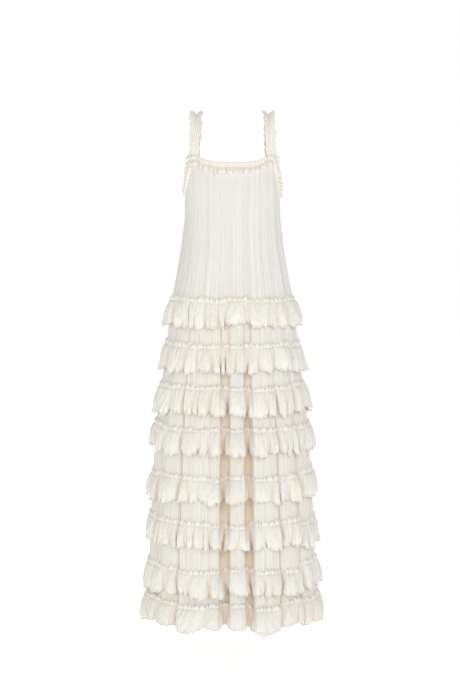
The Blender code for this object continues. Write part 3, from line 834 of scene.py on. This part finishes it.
# Shoulder straps. Each is a band of the cream crepe, gathered lengthwise into ribs, whose two edges
# are left free as a narrow frill. The ends are sewn to the neck ruffle in front and behind.
STRAP_ROWS = 210
FRILL_PITCH = 0.0240
STRAP_ARCH_HEIGHT = 0.1127
STRAP_MIDDLE_ANGLE = 52.25
STRAP_EDGES = (  # angle at the seams, and x at the top
    (STRAP_INNER_ANGLE, 0.089), (STRAP_MIDDLE_ANGLE, 0.101), (STRAP_OUTER_ANGLE, 0.113),
)
STRAP_SEWN = np.array([  # the ends below the bodice's edge, and outwards
    (0.0138, 0.0022), (0.0110, 0.0048), (0.0060, 0.0050), (0.0020, 0.0036),
])
FRILL_START = 0.62  # share of the half width at which the frill begins


def strap_edge(side, angle, top_x, share):
    """One edge of a strap's band, from its front seam, share 0, over the shoulder to the back."""
    ends = on_dress(np.array([angle, 180 - angle]), np.full(2, STRAP_SEAM_Z), 0.0, -0.0015)
    lift = np.sin(np.pi * share) ** 0.75
    x = abs(ends[0, 0]) + (abs(ends[1, 0]) - abs(ends[0, 0])) * share
    y = ends[0, 1] + (ends[1, 1] - ends[0, 1]) * (1 - np.cos(np.pi * share)) / 2
    return np.stack([side * (x + (top_x - x) * lift), y, -STRAP_ARCH_HEIGHT * (1 - lift)], axis=-1)


def make_strap(name, side, replaced, seed):
    """One strap, with more rows near its seams, where the arch starts steeply."""
    even = np.linspace(0, 1, STRAP_ROWS)
    share = (1 - np.cos(np.pi * even)) / 2 * 0.6 + 0.4 * even
    share = np.clip(share, 1e-5, 1 - 1e-5)
    inside, middle, outside = (strap_edge(side, angle, top_x, share) for angle, top_x in STRAP_EDGES)
    place = length_along(middle)
    along = np.gradient(middle, axis=0)
    along[0], along[-1] = (0, 0, 1), (0, 0, -1)
    along /= np.linalg.norm(along, axis=1, keepdims=True)
    across = outside - inside
    width = np.linalg.norm(across, axis=1)
    across /= width[:, None]
    outwards = np.cross(across, along) * side
    outwards /= np.linalg.norm(outwards, axis=1, keepdims=True)
    bulge = np.einsum("ij,ij->i", middle - inside, outwards)
    rise = 0.0016 + 0.0115 * np.exp(-(((share - 0.5) / 0.17) ** 2))
    ease = np.clip(np.minimum(place, place[-1] - place) / 0.020, 0.25, 1)
    lines, tints = [], []
    for lane in np.linspace(-1, 1, 41):
        far = 1 if lane > 0 else -1
        edge = max(0.0, (abs(lane) - FRILL_START) / (1 - FRILL_START))
        puff = puffs(place, FRILL_PITCH, seed + 3 + far)
        rib = ridges(2.6 * lane + 0.22 * wander(place, seed, 0.16) + 8, seed + 1, 0.4)
        sideways = width / 2 + lane * (width / 2 + 0.0044 + edge * 0.0084 * (puff - 0.50) * ease)
        ear = 1 - ((abs(lane) - 0.80) / 0.80) ** 2
        dish = rise * ear * (0.90 + 0.25 * edge * (puff - 0.4) * ease)
        out = bulge * np.cos(lane * np.pi / 2) + 0.0012 + dish
        out = out + 0.0022 * (rib - 0.6) * (1 - edge) + 0.0014 * edge * (puff - 0.4)
        out = out + 0.0004 * crumple(place, 0.01 * lane, seed + 9, 0.050, 0.02) * ease
        line = inside + across * np.reshape(sideways, (-1, 1)) + outwards * out[:, None]
        for in_front in (True, False):
            angle = STRAP_MIDDLE_ANGLE + lane * 12.0
            angle = angle if in_front else 180 - angle
            sewn = on_dress(np.full(4, angle), STRAP_SEAM_Z - STRAP_SEWN[:, 0], 0.0, STRAP_SEWN[:, 1])
            sewn[:, 0] *= side
            line = np.concatenate([sewn, line] if in_front else [line, sewn[::-1]])
        lines.append(line)
        puff, rib = (np.pad(values, 4, "edge") for values in (puff, rib))
        # Painted shade in the frill's tucks, in the ribs' valleys, and along the line where each frill
        # meets the band.
        tints.append(np.stack([
            0.30 * edge * (1 - puff) ** 1.3,
            0.7 * (1 - rib) * (1 - edge),
            0.35 * hump(abs(lane) - 0.66, 0.07) + 0.25 * edge * (1 - puff),
        ], axis=-1))
    points = np.array(lines).transpose(1, 0, 2)
    tint = np.array(tints).transpose(1, 0, 2)
    if side < 0:
        points, tint = points[::-1], tint[::-1]
    piece = sheet_of_cloth(name, points, tint)
    finish_cloth(
        piece, ruffle_crepe, (replaced,),
    )


make_strap("frilled_strap_right", -1, "strap_right", 71)
make_strap("frilled_strap_left", 1, "strap_left", 75)


# Studio. A plain pale floor under the hem, white surroundings that the camera sees as pure white,
# two large soft lights in front and one behind.
FLOOR_Z = -1.542

bpy.ops.object.select_all(action="DESELECT")
bpy.ops.mesh.primitive_circle_add(vertices=96, radius=14.0, fill_type="NGON", location=(0, 0, FLOOR_Z))
bpy.ops.object.transform_apply(location=True)
floor = bpy.context.object
floor.name = "studio_floor"
floor_paint = bpy.data.materials.new("floor_paint")
floor_paint.use_nodes = True
floor_shader = floor_paint.node_tree.nodes["Principled BSDF"]
floor_shader.inputs["Base Color"].default_value = (0.55, 0.55, 0.54, 1.0)
floor_shader.inputs["Roughness"].default_value = 0.9
floor_shader.inputs["Emission Color"].default_value = (1.0, 1.0, 1.0, 1.0)
floor_shader.inputs["Emission Strength"].default_value = 0.72
floor.data.materials.append(floor_paint)

studio = bpy.data.worlds.new("white_studio")
bpy.context.scene.world = studio
studio.use_nodes = True
sky, wires = studio.node_tree.nodes, studio.node_tree.links
glow = sky["Background"]
glow.inputs["Color"].default_value = (1.0, 0.99, 0.97, 1.0)
glow.inputs["Strength"].default_value = 0.53
backdrop = new_node(sky, "ShaderNodeBackground", {"Color": (1.0, 1.0, 1.0, 1.0), "Strength": 1.0})
seen = sky.new("ShaderNodeLightPath")
either = sky.new("ShaderNodeMixShader")
wires.new(seen.outputs["Is Camera Ray"], either.inputs[0])
wires.new(glow.outputs["Background"], either.inputs[1])
wires.new(backdrop.outputs["Background"], either.inputs[2])
wires.new(either.outputs["Shader"], sky["World Output"].inputs["Surface"])

for name, place, size, power in (
    ("key_softbox", (2.0, -4.2, 1.4), 2.2, 53),
    ("fill_softbox", (-2.2, -4.0, -0.4), 2.4, 35),
    ("back_softbox", (1.0, 4.6, 0.8), 2.4, 50),
):
    light = bpy.data.objects.new(name, bpy.data.lights.new(name, "AREA"))
    bpy.context.scene.collection.objects.link(light)
    light.data.shape = "SQUARE"
    light.data.size = size
    light.data.energy = power
    light.location = place
    aim = np.array((0.0, 0.0, -0.75)) - np.array(place)
    light.rotation_euler = (
        math.acos(-aim[2] / np.linalg.norm(aim)), 0.0, math.atan2(aim[1], aim[0]) - math.pi / 2
    )


# Camera. It stands 4.5 metres in front of the dress, a little above the waist, and looks down by
# about 4 degrees.
CAMERA_DISTANCE = 4.5
CAMERA_AIM_DROP = 0.327  # how far the middle of the view lies below the camera

camera = bpy.data.objects.new("studio_camera", bpy.data.cameras.new("studio_camera"))
bpy.context.scene.collection.objects.link(camera)
camera.location = (-0.007, -CAMERA_DISTANCE, -0.321)
look_down = math.atan2(CAMERA_AIM_DROP, CAMERA_DISTANCE)
camera.rotation_euler = (math.radians(90) - look_down, 0.0, 0.0)
camera.data.lens = 82.7
camera.data.sensor_width = 36.0
bpy.context.scene.camera = camera
bpy.context.scene.view_settings.view_transform = "Standard"
